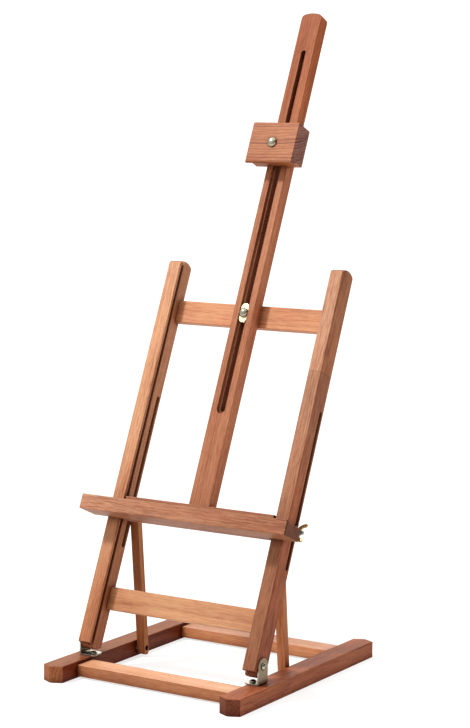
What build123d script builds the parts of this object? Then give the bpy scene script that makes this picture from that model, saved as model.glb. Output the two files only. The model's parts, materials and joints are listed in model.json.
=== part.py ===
from build123d import *
import math
import os

# Table easel: a flat base of two runners and two rails, a frame that leans
# back on hinges and is held by two struts, and a sliding mast with a canvas
# tray and an upper canvas block.
# Millimetres; +X is right seen from the front, +Y the back, +Z up.  The
# footprint is centred on the origin and the runners stand on z = 0.
# Leaning parts are built in the frame's own axes, where y is the depth behind
# the front face of the uprights and z runs up them.  Paired parts are built
# on the right (+X) and mirrored.

os.makedirs("parts", exist_ok=True)

Y_SHIFT = -91.294         # from base coordinates to the centred footprint
RUNNING = 0.05            # radial running clearance
SEAT_GAP = 0.05           # gap under heads, washers and nuts
SIDE_GAP = 0.1            # sideways gap between plates, spacers and wood
OVERLAP = 0.4             # how far a bolt shank runs into its head
CUT = 1                   # how far a cutter runs past a face

# Base
BASE_W = 303.0            # over the two runners
RUNNER_W = 30.5
RUNNER_H = 22.0
RUNNER_FRONT = -128.5
RUNNER_BACK = 228.0
RUNNER_CLIP_X = 13.0      # flat cut across the runner's upright corners:
RUNNER_CLIP_Y = 6.5       # across its width, and along its length
RUNNER_OUT = BASE_W / 2
RUNNER_IN = RUNNER_OUT - RUNNER_W
RAIL_DEPTH = 34.0
RAIL_BOTTOM, RAIL_TOP = 2.1, 17.6
RAIL_TENON = 9.0
RAIL_SHOULDER_Y, RAIL_SHOULDER_Z = 5, 4
FRONT_RAIL_Y = -90.0      # front faces of the rails
REAR_RAIL_Y = 158.8

# Leaning frame
LEAN = 23.3               # degrees back from upright
FRAME_Y = -75.0
UPRIGHT_IN = 118.5
UPRIGHT_OUT = 137.5
UPRIGHT_D = 30.0
UPRIGHT_TOP = 563.5       # crown of the arched top
UPRIGHT_ARCH = 5.0        # fall of the arch at the front and the back
GROOVE_FRONT, GROOVE_BACK, GROOVE_DEPTH = 4.0, 9.6, 7.0
SLOT_BOTTOM, SLOT_TOP = 158.0, 371.0
SLOT_W = 6.6
SLOT_Y = 23.46
BAR_FRONT = 19.0          # the crossbars stand behind the sliding mast
UPPER_BAR = (477.8, 508.8)
LOWER_BAR = (72.5, 103.0)
BAR_TENON_FRONT, BAR_TENON_BACK = 21.0, 27.0
BAR_TENON = 10
BAR_SHOULDER = 5

# Profile of an upright's side: (depth, height), closed, before the arch is cut
UPRIGHT_PROFILE = [
    (0, 23.0), (8.0, 21.3), (12.0, 17.2), (22.0, 17.2), (UPRIGHT_D, 22.0),
    (UPRIGHT_D, UPRIGHT_TOP + 5), (0, UPRIGHT_TOP + 5)]

# Hinge
HINGE = (15.0, 32.0)      # pin position in the leaning frame (depth, height)
HINGE_SHANK = 5.0
PLATE_T = 2.0
TAB_IN = UPRIGHT_OUT + SIDE_GAP
TAB_OUT = TAB_IN + PLATE_T
TAB_R = 11.0
FLANGE_IN = 116.5
BEND_R = 2.0              # hollow in the bracket's inner corner
BRACKET_SCREW_X = 124.5
BRACKET_SCREW_R = 2.0

# Tray, mast and canvas block
TRAY_HALF = 159.0
LIP_FRONT, BOARD_FRONT, BOARD_BACK = -39.3, -35.3, -0.8
TRAY_BOTTOM, BOARD_TOP, LIP_TOP = 192.8, 209.9, 213.0
GUIDE_HALF = 115.5
GUIDE_BACK = 13.2
GUIDE_TOP = 224.0
TONGUE = GROOVE_DEPTH - 0.9
TONGUE_GAP = 0.1
MAST_W = 31.8
MAST_D = 18.9
MAST_BOTTOM, MAST_TOP = GUIDE_TOP, 933.0
MAST_CROWN = 3.4          # rise of the curved tip
MAST_TENON_HALF = 9
MAST_TENON_FRONT, MAST_TENON_BACK = 4.5, 11.0
MAST_TENON_BOTTOM = MAST_BOTTOM - 20
SLIT_W = 7.0
SLIT_TOP = 876.3
RECESS_W = 13.5
RECESS_D = 4.0
RECESS_BOTTOM, RECESS_TOP = 350.5, 714.0
BLOCK_HALF = 36.1
BLOCK_FRONT, BLOCK_BACK = -26.0, 4.5
BLOCK_BOTTOM, BLOCK_TOP = 697.0, 757.2
STEP_Y, STEP_Z = -9.5, 704.2   # where the underside changes from sloped to level
BLOCK_NOSE = 2.5          # rounding of the lower front edge
BLOCK_BOLT_Z = 728.5

# Clamps of the mast and the block
CLAMP_Z = 492.5
CLAMP_SHANK = 6.0
CLAMP_WASHER_T = 1.4
CLAMP_PLATE_FRONT, CLAMP_PLATE_BACK = RECESS_D - 2.5, RECESS_D - SEAT_GAP
CLAMP_PLATE_W, CLAMP_PLATE_HALF = 12.6, 13.75

# Struts
FOOT_Y, FOOT_Z = 49.0, 12.5
FOOT_SHANK = 4.4
STRUT_IN, STRUT_OUT = 105.7, 118.3
STRUT_D = 10.0
STRUT_BOLT = (23.8, 209.8)    # bolt position in the leaning frame (depth, height)
STRUT_SHANK = 5.0
STRUT_WASHER_T = 1.1
COUNTERBORE_R, COUNTERBORE_D = 3.7, 4.5
STRUT_NUT_TURN = 17.0


def frame_to_base(depth, height):
    """(y, z) in base coordinates of a point of the leaning frame."""
    lean = math.radians(LEAN)
    return (FRAME_Y + depth * math.cos(lean) + height * math.sin(lean),
            RUNNER_H - depth * math.sin(lean) + height * math.cos(lean))


HINGE_Y, HINGE_Z = frame_to_base(*HINGE)
BOLT_Y, BOLT_Z = frame_to_base(*STRUT_BOLT)
STRUT_LEN = math.hypot(BOLT_Y - FOOT_Y, BOLT_Z - FOOT_Z)
STRUT_ANGLE = math.degrees(math.atan2(FOOT_Y - BOLT_Y, BOLT_Z - FOOT_Z))

# Placements: base, leaning frame, and struts with z running from foot to bolt
WORLD = Pos(0, Y_SHIFT, 0)
TILT = WORLD * Pos(0, FRAME_Y, RUNNER_H) * Rot(-LEAN, 0, 0)
AT_FOOT = WORLD * Pos(0, FOOT_Y, FOOT_Z) * Rot(STRUT_ANGLE, 0, 0)
# Turns that send a part's +z to +y or +x
TO_BACK = Rot(-90, 0, 0)
TO_RIGHT = Rot(0, 90, 0)
FROM_BOTTOM = (Align.CENTER, Align.CENTER, Align.MIN)


# ------------------------------------------------------------------- helpers
def box(x0, x1, y0, y1, z0, z1):
    return Pos((x0 + x1) / 2, (y0 + y1) / 2, (z0 + z1) / 2) * Box(
        abs(x1 - x0), abs(y1 - y0), abs(z1 - z0))


def cyl_x(radius, x0, x1, y, z):
    return Pos((x0 + x1) / 2, y, z) * Rot(0, 90, 0) * Cylinder(radius, abs(x1 - x0))


def cyl_y(radius, y0, y1, x, z):
    return Pos(x, (y0 + y1) / 2, z) * Rot(90, 0, 0) * Cylinder(radius, abs(y1 - y0))


def cyl_z(radius, z0, z1, x, y):
    return Pos(x, y, (z0 + z1) / 2) * Cylinder(radius, abs(z1 - z0))


def prism_x(points, x0, x1):
    """Polygon of (y, z) points, swept along X."""
    face = Face(Wire.make_polygon([(x0, y, z) for y, z in points], close=True))
    return Solid.extrude(face, Vector(x1 - x0, 0, 0))


def prism_y(points, y0, y1):
    """Polygon of (x, z) points, swept along Y."""
    face = Face(Wire.make_polygon([(x, y0, z) for x, z in points], close=True))
    return Solid.extrude(face, Vector(0, y1 - y0, 0))


def slot_y(width, z0, z1, y0, y1):
    """Round-ended upright slot at x = 0, running through along Y."""
    radius = width / 2
    return (box(-radius, radius, y0, y1, z0 + radius, z1 - radius)
            + cyl_y(radius, y0, y1, 0, z0 + radius) + cyl_y(radius, y0, y1, 0, z1 - radius))


def slot_x(width, z0, z1, x0, x1, y):
    """Round-ended upright slot, running through along X."""
    radius = width / 2
    return (box(x0, x1, y - radius, y + radius, z0 + radius, z1 - radius)
            + cyl_x(radius, x0, x1, y, z0 + radius) + cyl_x(radius, x0, x1, y, z1 - radius))


def edges_where(shape, test, axis=None):
    """Edges, parallel to axis if given, whose centre passes the test."""
    edges = shape.edges().filter_by(axis) if axis else shape.edges()
    return [e for e in edges if test(e.center())]


def long_z_edges(shape, min_length):
    return [e for e in shape.edges().filter_by(Axis.Z) if e.length > min_length]


def one(shape):
    """The single solid of a boolean result."""
    solids = shape.solids()
    assert len(solids) == 1, len(solids)
    return solids[0]


def mirror_x(shape):
    return shape.mirror(Plane.YZ)


# ------------------------------------------------------------------ hardware
def dome(radius, height):
    """Domed head: flat side on z = 0, dome towards -z."""
    sphere_r = (radius * radius + height * height) / (2 * height)
    return one((Pos(0, 0, sphere_r - height) * Sphere(sphere_r))
               & (Pos(0, 0, -height) * Cylinder(radius, 2 * height)))


def washer(radius, bore, thickness):
    return one(Cylinder(radius, thickness, align=FROM_BOTTOM) - Cylinder(bore / 2, 20))


def wing_nut(shank, hub_r, hub_h, span, height):
    """Axis +z, seat on z = 0, wings reaching span to either side along x."""
    blade_t = 2.6
    hub = one(Cone(hub_r, hub_r - 0.9, hub_h, align=FROM_BOTTOM))
    # One wing: (distance from the axis, height)
    outline = [(2.6, 0.9), (4.6, 0.9), (span - 1.2, height * 0.50), (span, height * 0.80),
               (span - 1.6, height), (span - 5.0, height * 0.92),
               (5.2, hub_h * 0.92), (2.6, hub_h * 0.92)]
    blades = []
    for points in (outline, [(-x, z) for x, z in reversed(outline)]):
        blade = prism_y(points, -blade_t / 2, blade_t / 2)
        tips = edges_where(
            blade, lambda mid: abs(mid.X) > span - 6.0 and mid.Z > height * 0.4, Axis.Y)
        blades.append(fillet(tips, 1.9))
    nut = hub + (blades[0] + blades[1])
    return one(nut - Cylinder(shank / 2 + RUNNING, 60))


def clamp_bolt(head_y, end_y, z, head_r, head_h):
    """Bolt along Y with its domed head in front of head_y."""
    return one(cyl_y(CLAMP_SHANK / 2, head_y - OVERLAP, end_y, 0, z)
               + Pos(0, head_y, z) * TO_BACK * dome(head_r, head_h))


def clamp_washer(seat_y, z, radius):
    return Pos(0, seat_y, z) * TO_BACK * washer(radius, CLAMP_SHANK, CLAMP_WASHER_T)


def clamp_nut(washer_y, z, turn):
    """Wing nut behind a washer that is seated on washer_y."""
    return (Pos(0, washer_y + CLAMP_WASHER_T + SEAT_GAP, z) * TO_BACK * Rot(0, 0, turn)
            * wing_nut(CLAMP_SHANK, hub_r=6.0, hub_h=8.0, span=15.0, height=15.0))


# ---------------------------------------------------------------------- base
def rail_tenons(x0, x1, rail_y):
    """The block that forms a rail's tenons, or cuts their mortise."""
    return box(x0, x1, rail_y + RAIL_SHOULDER_Y, rail_y + RAIL_DEPTH - RAIL_SHOULDER_Y,
               RAIL_BOTTOM + RAIL_SHOULDER_Z, RAIL_TOP - RAIL_SHOULDER_Z)


def make_runner():
    flat_in, flat_out = RUNNER_IN + RUNNER_CLIP_X, RUNNER_OUT - RUNNER_CLIP_X
    side_front, side_back = RUNNER_FRONT + RUNNER_CLIP_Y, RUNNER_BACK - RUNNER_CLIP_Y
    runner = extrude(Polygon(
        (RUNNER_IN, side_front), (flat_in, RUNNER_FRONT),
        (flat_out, RUNNER_FRONT), (RUNNER_OUT, side_front),
        (RUNNER_OUT, side_back), (flat_out, RUNNER_BACK),
        (flat_in, RUNNER_BACK), (RUNNER_IN, side_back),
        align=None), RUNNER_H)
    runner = fillet(runner.edges().group_by(Axis.Z)[-1], 1.3)
    runner = fillet(runner.edges().group_by(Axis.Z)[0], 0.8)
    for rail_y in (FRONT_RAIL_Y, REAR_RAIL_Y):
        runner -= rail_tenons(RUNNER_IN - CUT, RUNNER_IN + RAIL_TENON, rail_y)
    # Holes for the bracket screw and the strut's pivot screw
    runner -= cyl_z(BRACKET_SCREW_R, RUNNER_H - 16, RUNNER_H + CUT, BRACKET_SCREW_X, HINGE_Y)
    runner -= cyl_x(FOOT_SHANK / 2, RUNNER_IN - CUT, RUNNER_IN + 16, FOOT_Y, FOOT_Z)
    return one(runner)


def make_rail(rail_y):
    rail = box(-RUNNER_IN, RUNNER_IN, rail_y, rail_y + RAIL_DEPTH, RAIL_BOTTOM, RAIL_TOP)
    rail = fillet(rail.edges(), 1.0)
    return one(rail + rail_tenons(-RUNNER_IN - RAIL_TENON, RUNNER_IN + RAIL_TENON, rail_y))


# --------------------------------------------------------------------- hinge
def make_hinge_bracket():
    """Bent plate: flange on the runner, round-topped tab outside the upright."""
    front, back = HINGE_Y - TAB_R, HINGE_Y + TAB_R
    flange_top = RUNNER_H + PLATE_T
    tab = (box(TAB_IN, TAB_OUT, front, back, RUNNER_H, HINGE_Z)
           + cyl_x(TAB_R, TAB_IN, TAB_OUT, HINGE_Y, HINGE_Z))
    flange = box(FLANGE_IN, TAB_OUT, front, back, RUNNER_H, flange_top)
    flange = fillet(edges_where(flange, lambda mid: mid.X < FLANGE_IN + 1, Axis.Z), 6.0)
    bend = box(TAB_IN - BEND_R, TAB_IN, front, back, flange_top, flange_top + BEND_R)
    bend = bend - (Pos(TAB_IN - BEND_R, HINGE_Y, flange_top + BEND_R) * Rot(90, 0, 0)
                   * Cylinder(BEND_R, 2 * TAB_R + 2))
    bracket = tab + flange + bend
    bracket = fillet(edges_where(
        bracket, lambda mid: mid.X > TAB_OUT - 0.1 and mid.Z < RUNNER_H + 0.1, Axis.Y), 2.4)
    bracket -= cyl_x(HINGE_SHANK / 2 + RUNNING, TAB_IN - CUT, TAB_OUT + CUT, HINGE_Y, HINGE_Z)
    bracket -= cyl_z(BRACKET_SCREW_R, RUNNER_H - CUT, flange_top + CUT, BRACKET_SCREW_X, HINGE_Y)
    return one(bracket)


def make_bracket_screw():
    """Slotted wood screw, down through the flange."""
    seat = RUNNER_H + PLATE_T
    screw = (cyl_z(BRACKET_SCREW_R, RUNNER_H - 15.5, seat + 0.5, BRACKET_SCREW_X, HINGE_Y)
             + Pos(BRACKET_SCREW_X, HINGE_Y, seat) * Rot(180, 0, 0) * dome(4.6, 2.9))
    return one(screw - box(BRACKET_SCREW_X - 6, BRACKET_SCREW_X + 6,
                           HINGE_Y - 0.5, HINGE_Y + 0.5, seat + 1.7, seat + 4))


def make_hinge_screw():
    """Slotted screw with its head outside the tab, running into the upright."""
    seat = TAB_OUT + SEAT_GAP
    screw = cyl_x(HINGE_SHANK / 2, UPRIGHT_OUT - 15.5, seat + 0.5, *HINGE)
    screw = screw + Pos(seat, *HINGE) * Rot(0, -90, 0) * dome(4.6, 2.8)
    return one(screw - Pos(seat + 2.9, *HINGE) * Rot(35, 0, 0) * Box(2.4, 12, 1.0))


# --------------------------------------------------------------------- frame
def bar_tenons(x0, x1, bottom, top):
    """The block that forms a crossbar's tenons, or cuts their mortise."""
    return box(x0, x1, BAR_TENON_FRONT, BAR_TENON_BACK,
               bottom + BAR_SHOULDER, top - BAR_SHOULDER)


def make_upright():
    upright = prism_x(UPRIGHT_PROFILE, UPRIGHT_IN, UPRIGHT_OUT)
    arch_r = ((UPRIGHT_D / 2) ** 2 + UPRIGHT_ARCH ** 2) / (2 * UPRIGHT_ARCH)
    arch_z = UPRIGHT_TOP - arch_r
    upright = one(upright & (
        box(UPRIGHT_IN - 5, UPRIGHT_OUT + 5, -5, UPRIGHT_D + 5, 0, arch_z)
        + cyl_x(arch_r, UPRIGHT_IN - 5, UPRIGHT_OUT + 5, UPRIGHT_D / 2, arch_z)))
    upright = fillet(edges_where(
        upright, lambda mid: mid.Z > UPRIGHT_TOP - 8 and mid.Y > UPRIGHT_D - 1, Axis.X), 4.0)
    upright = fillet(edges_where(
        upright, lambda mid: mid.Z > UPRIGHT_TOP - 8 and mid.Y < 1, Axis.X), 1.5)
    upright = fillet(long_z_edges(upright, 300), 1.2)
    # Groove for the tray guide's tongue, and slot for the strut bolt
    upright -= box(UPRIGHT_IN - CUT, UPRIGHT_IN + GROOVE_DEPTH, GROOVE_FRONT, GROOVE_BACK,
                   0, UPRIGHT_TOP + 5)
    upright -= slot_x(SLOT_W, SLOT_BOTTOM, SLOT_TOP, UPRIGHT_IN - CUT, UPRIGHT_OUT + CUT, SLOT_Y)
    for bottom, top in (UPPER_BAR, LOWER_BAR):
        upright -= bar_tenons(UPRIGHT_IN - CUT, UPRIGHT_IN + BAR_TENON, bottom, top)
    upright -= cyl_x(HINGE_SHANK / 2, UPRIGHT_OUT - 16, UPRIGHT_OUT + CUT, *HINGE)
    return one(upright)


def make_crossbar(bottom, top):
    bar = box(-UPRIGHT_IN, UPRIGHT_IN, BAR_FRONT, UPRIGHT_D, bottom, top)
    bar = fillet(bar.edges(), 0.8)
    return bar + bar_tenons(-UPRIGHT_IN - BAR_TENON, UPRIGHT_IN + BAR_TENON, bottom, top)


def make_upper_crossbar():
    hole = cyl_y(CLAMP_SHANK / 2, BAR_FRONT - CUT, UPRIGHT_D + CUT, 0, CLAMP_Z)
    return one(make_crossbar(*UPPER_BAR) - hole)


def make_clamp_plate():
    """Oblong plate in the mast's front recess, under the clamp bolt's head."""
    plate = slot_y(CLAMP_PLATE_W, CLAMP_Z - CLAMP_PLATE_HALF, CLAMP_Z + CLAMP_PLATE_HALF,
                   CLAMP_PLATE_FRONT, CLAMP_PLATE_BACK)
    plate = fillet(plate.edges().group_by(Axis.Y)[0], 0.6)
    return one(plate - cyl_y(CLAMP_SHANK / 2, CLAMP_PLATE_FRONT - CUT,
                             CLAMP_PLATE_BACK + CUT, 0, CLAMP_Z))


# ------------------------------------------------------------- mast and tray
def mast_tenon(top):
    return box(-MAST_TENON_HALF, MAST_TENON_HALF, MAST_TENON_FRONT, MAST_TENON_BACK,
               MAST_TENON_BOTTOM, top)


def make_mast():
    mast = box(-MAST_W / 2, MAST_W / 2, 0, MAST_D, MAST_BOTTOM, MAST_TOP + 10)
    crown_r = ((MAST_W / 2) ** 2 + MAST_CROWN ** 2) / (2 * MAST_CROWN)
    mast = one(mast & (box(-40, 40, -5, 30, MAST_BOTTOM - 1, MAST_TOP - 30)
                       + cyl_y(crown_r, -5, 30, 0, MAST_TOP - crown_r)))
    mast = fillet(edges_where(mast, lambda mid: mid.Z > MAST_TOP - 8, Axis.Y), 6.5)
    mast = fillet(long_z_edges(mast, 300), 1.0)
    # The slit and the wider front recess share the centre of their lower ends
    slit_bottom = RECESS_BOTTOM + (RECESS_W - SLIT_W) / 2
    mast -= slot_y(SLIT_W, slit_bottom, SLIT_TOP, -CUT, MAST_D + CUT)
    mast -= slot_y(RECESS_W, RECESS_BOTTOM, RECESS_TOP, -CUT, RECESS_D)
    mast += mast_tenon(MAST_BOTTOM)
    return one(mast)


def make_tray_guide():
    guide = box(-GUIDE_HALF, GUIDE_HALF, BOARD_BACK, GUIDE_BACK, TRAY_BOTTOM, GUIDE_TOP)
    guide = fillet(edges_where(guide, lambda mid: mid.Z > GUIDE_TOP - 1, Axis.X), 0.8)
    guide += box(-UPRIGHT_IN - TONGUE, UPRIGHT_IN + TONGUE, GROOVE_FRONT + TONGUE_GAP,
                 GROOVE_BACK - TONGUE_GAP, TRAY_BOTTOM + 1.0, GUIDE_TOP - 1.5)
    return one(guide - mast_tenon(GUIDE_TOP + 5))


def make_tray_board():
    board = box(-TRAY_HALF, TRAY_HALF, BOARD_FRONT, BOARD_BACK, TRAY_BOTTOM, BOARD_TOP)
    return one(fillet(edges_where(board, lambda mid: mid.Y > BOARD_FRONT + 0.5), 0.7))


def make_tray_lip():
    lip = box(-TRAY_HALF, TRAY_HALF, LIP_FRONT, BOARD_FRONT, TRAY_BOTTOM, LIP_TOP)
    return one(fillet(edges_where(
        lip, lambda mid: mid.Y < BOARD_FRONT - 0.5 or mid.Z > LIP_TOP - 0.5), 0.8))


def make_canvas_block():
    block = prism_x([(BLOCK_FRONT, BLOCK_BOTTOM), (STEP_Y, STEP_Z), (BLOCK_BACK, STEP_Z),
                     (BLOCK_BACK, BLOCK_TOP), (BLOCK_FRONT, BLOCK_TOP)],
                    -BLOCK_HALF, BLOCK_HALF)
    block = fillet(edges_where(block, lambda mid: abs(mid.Y - BLOCK_FRONT) < 0.1
                               and abs(mid.Z - BLOCK_BOTTOM) < 0.1), BLOCK_NOSE)

    def is_eased(mid):
        """All but the back edges, the underside's crease and the rounded nose."""
        at_crease = abs(mid.Z - STEP_Z) < 0.3 and abs(mid.Y - STEP_Y) < 0.3
        at_nose = abs(mid.X) < 1 and mid.Z < 702 and mid.Y < BLOCK_FRONT + 6
        return mid.Y < BLOCK_BACK - 0.2 and not at_crease and not at_nose

    block = fillet(edges_where(block, is_eased), 0.7)
    # Channel over the mast's front, and the bolt hole
    channel_half = MAST_W / 2 + 0.15
    block -= box(-channel_half, channel_half, -0.1, 20, BLOCK_BOTTOM - 5, BLOCK_TOP + 5)
    block -= cyl_y(CLAMP_SHANK / 2, BLOCK_FRONT - CUT, 20, 0, BLOCK_BOLT_Z)
    return one(block)


# -------------------------------------------------------------------- struts
def make_strut():
    strut = box(STRUT_IN, STRUT_OUT, -STRUT_D / 2, STRUT_D / 2, -9.3, STRUT_LEN + 7.5)
    strut = fillet(strut.edges().filter_by(Axis.X), 4.6)
    strut = fillet(long_z_edges(strut, 100), 0.6)
    strut -= cyl_x(FOOT_SHANK / 2 + RUNNING, STRUT_IN - CUT, STRUT_OUT + CUT, 0, 0)
    strut -= cyl_x(COUNTERBORE_R, STRUT_IN - CUT, STRUT_IN + COUNTERBORE_D, 0, 0)
    strut -= cyl_x(STRUT_SHANK / 2, STRUT_IN - CUT, STRUT_OUT + CUT, 0, STRUT_LEN)
    return one(strut)


def make_pivot_screw():
    """Slotted screw, its head sunk in the strut's inner face."""
    seat = STRUT_IN + COUNTERBORE_D - SEAT_GAP
    screw = cyl_x(FOOT_SHANK / 2, seat - 0.6, RUNNER_IN + 15.5, FOOT_Y, FOOT_Z)
    screw = screw + Pos(seat, FOOT_Y, FOOT_Z) * TO_RIGHT * dome(3.5, 2.2)
    return one(screw - Pos(seat - 2.1, FOOT_Y, FOOT_Z) * Rot(20, 0, 0) * Box(1.6, 9, 0.9))


def make_strut_spacer():
    """Ring between the strut's foot and the runner."""
    return (Pos(STRUT_OUT + SIDE_GAP, FOOT_Y, FOOT_Z) * TO_RIGHT
            * washer(5.0, FOOT_SHANK, RUNNER_IN - STRUT_OUT - SIDE_GAP))


def make_strut_bolt():
    """Domed head inside, through the strut and the upright's slot."""
    return one(cyl_x(STRUT_SHANK / 2, STRUT_IN - OVERLAP, 150.3, 0, STRUT_LEN)
               + Pos(STRUT_IN, 0, STRUT_LEN) * TO_RIGHT * dome(5.4, 3.0))


def make_strut_washer():
    return (Pos(UPRIGHT_OUT + SEAT_GAP, 0, STRUT_LEN) * TO_RIGHT
            * washer(7.5, STRUT_SHANK, STRUT_WASHER_T))


def make_strut_nut():
    seat = UPRIGHT_OUT + STRUT_WASHER_T + 2 * SEAT_GAP
    nut = (Pos(seat, 0, STRUT_LEN) * TO_RIGHT
           * wing_nut(STRUT_SHANK, hub_r=5.2, hub_h=7.0, span=13.5, height=14.0))
    return nut.rotate(Axis((0, 0, STRUT_LEN), (1, 0, 0)),
                      -(STRUT_ANGLE + LEAN + STRUT_NUT_TURN))


# ------------------------------------------------------------------ assembly
block_washer_y = MAST_D + SEAT_GAP
parts = {
    "base_rail_front": WORLD * make_rail(FRONT_RAIL_Y),
    "base_rail_rear": WORLD * make_rail(REAR_RAIL_Y),
    "upper_crossbar": TILT * make_upper_crossbar(),
    "lower_crossbar": TILT * one(make_crossbar(*LOWER_BAR)),
    "clamp_plate": TILT * make_clamp_plate(),
    "clamp_bolt": TILT * clamp_bolt(CLAMP_PLATE_FRONT, 47.0, CLAMP_Z, 6.65, 5.0),
    "clamp_washer": TILT * clamp_washer(UPRIGHT_D, CLAMP_Z, 9.0),
    "clamp_wing_nut": TILT * clamp_nut(UPRIGHT_D, CLAMP_Z, 25),
    "mast": TILT * make_mast(),
    "tray_guide": TILT * make_tray_guide(),
    "tray_board": TILT * make_tray_board(),
    "tray_lip": TILT * make_tray_lip(),
    "canvas_block": TILT * make_canvas_block(),
    "block_bolt": TILT * clamp_bolt(BLOCK_FRONT, 35.0, BLOCK_BOLT_Z, 7.2, 4.6),
    "block_washer": TILT * clamp_washer(block_washer_y, BLOCK_BOLT_Z, 8.5),
    "block_wing_nut": TILT * clamp_nut(block_washer_y, BLOCK_BOLT_Z, -15),
}

# Mirrored pairs, one file for each side
for name, place, right in (
        ("runner", WORLD, make_runner()),
        ("hinge_bracket", WORLD, make_hinge_bracket()),
        ("upright", TILT, make_upright()),
        ("strut", AT_FOOT, make_strut()),
        ("strut_bolt", AT_FOOT, make_strut_bolt()),
        ("strut_washer", AT_FOOT, make_strut_washer()),
        ("strut_wing_nut", AT_FOOT, make_strut_nut())):
    parts[name + "_right"] = place * right
    parts[name + "_left"] = place * mirror_x(right)

# Mirrored pairs, both sides in one file
for name, place, right in (
        ("bracket_screws", WORLD, make_bracket_screw()),
        ("hinge_screws", TILT, make_hinge_screw()),
        ("strut_pivot_screws", WORLD, make_pivot_screw()),
        ("strut_spacers", WORLD, make_strut_spacer())):
    parts[name] = place * Compound([right, mirror_x(right)])

for name, shape in parts.items():
    shape.label = name
    export_step(shape, os.path.join("parts", name + ".step"))
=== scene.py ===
"""A small beech table easel with a tilting frame, a sliding mast and swinging struts.

+Z is up, the front faces -Y and the right side is +X.  The frame leans: V runs
up along the mast and U is square to it, towards the rear.
"""

import json
import math

import bmesh
import bpy
import numpy as np
from mathutils import Matrix, Vector


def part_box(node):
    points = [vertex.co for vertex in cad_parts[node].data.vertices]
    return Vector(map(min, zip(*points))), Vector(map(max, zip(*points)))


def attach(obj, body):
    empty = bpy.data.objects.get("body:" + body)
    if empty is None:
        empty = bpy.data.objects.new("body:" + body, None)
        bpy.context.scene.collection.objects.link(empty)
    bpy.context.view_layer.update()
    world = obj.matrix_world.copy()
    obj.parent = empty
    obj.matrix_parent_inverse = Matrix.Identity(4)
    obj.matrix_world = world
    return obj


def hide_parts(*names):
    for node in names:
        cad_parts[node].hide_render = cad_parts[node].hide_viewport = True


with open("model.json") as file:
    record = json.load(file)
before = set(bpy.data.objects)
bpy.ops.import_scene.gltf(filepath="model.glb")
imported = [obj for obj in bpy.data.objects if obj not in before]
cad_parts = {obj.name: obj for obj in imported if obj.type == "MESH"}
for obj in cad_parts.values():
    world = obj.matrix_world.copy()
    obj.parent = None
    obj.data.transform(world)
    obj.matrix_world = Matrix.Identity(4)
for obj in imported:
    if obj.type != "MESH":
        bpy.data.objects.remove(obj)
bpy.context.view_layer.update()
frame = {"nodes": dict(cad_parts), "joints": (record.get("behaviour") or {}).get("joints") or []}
pieces = frame["nodes"]
joints = {joint["name"]: joint for joint in frame["joints"]}
scene = bpy.context.scene

MM = 0.001
SIDES = ((1, "right"), (-1, "left"))   # sign along X, name

# ------------------------------------------------------------ the leaning frame
X = Vector((1, 0, 0))
Y = Vector((0, 1, 0))
Z = Vector((0, 0, 1))
V = Vector(joints["carriage_slide"]["axis"]).normalized()
U = V.cross(X)
if U.y < 0:
    U = -U

HINGE = Vector(joints["frame_tilt"]["pos_m"])
STRUT_PIVOT = Vector(joints["strut_right_swing"]["pos_m"])
STRUT_BOLT = Vector(joints["strut_nut_right_turn"]["pos_m"])
CLAMP_NUT = Vector(joints["clamp_nut_turn"]["pos_m"])
BLOCK_NUT = Vector(joints["block_nut_turn"]["pos_m"])

HINGE_U, HINGE_V = 15, 32              # the hinge in frame millimetres
CLAMP_V = 492.5                        # height of the clamp bolt up the frame
BLOCK_V = 728.5                        # height of the canvas block bolt
ORIGIN = HINGE - U * HINGE_U * MM - V * HINGE_V * MM
ALONG_V = ORIGIN.dot(V) * 1000.0       # grain coordinate of v = 0
STRUT_GRAIN = (Vector((0, STRUT_BOLT.y, STRUT_BOLT.z))
               - Vector((0, STRUT_PIVOT.y, STRUT_PIVOT.z))).normalized()

# Hardware, in millimetres
FRAME_SHANK = 3.0                      # radius of the clamp and block bolts
STRUT_SHANK = 2.5                      # radius of the strut bolts
NUT_PLAY = 0.05                        # nut bore over shank radius
PIVOT_SHANK = 2.2                      # radius of the strut pivot screws
PIVOT_SEAT = 4.45                      # depth of their seats in the struts
SCREW_HEAD = 4.6                       # head radius of hinge and bracket screws
STRUT_THICKNESS = 12.6
RECESS_WIDTH, RECESS_LENGTH, RECESS_DEPTH = 0.62, 3.1, 1.5
FRAME_NUT = dict(bore=FRAME_SHANK + NUT_PLAY, hub_radius=6.0, hub_height=8.0,
                 span=15.0, height=15.0, thickness=2.7, voxel=0.30)
STRUT_NUT = dict(bore=STRUT_SHANK + NUT_PLAY, hub_radius=5.2, hub_height=7.0,
                 span=13.5, height=14.0, thickness=2.5, voxel=0.27)


def lean(u, v):
    """A point on the middle plane of the leaning frame, given in millimetres."""
    return ORIGIN + U * u * MM + V * v * MM


# ------------------------------------------------------------------ node graphs
def rgba(color):
    return (*color, 1.0)


def grey(value):
    return rgba((value,) * 3)


def shade(color, factors):
    """The color times a factor per channel, held at 1."""
    return rgba(min(1, channel * factor) for channel, factor in zip(Vector(color), factors))


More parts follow.
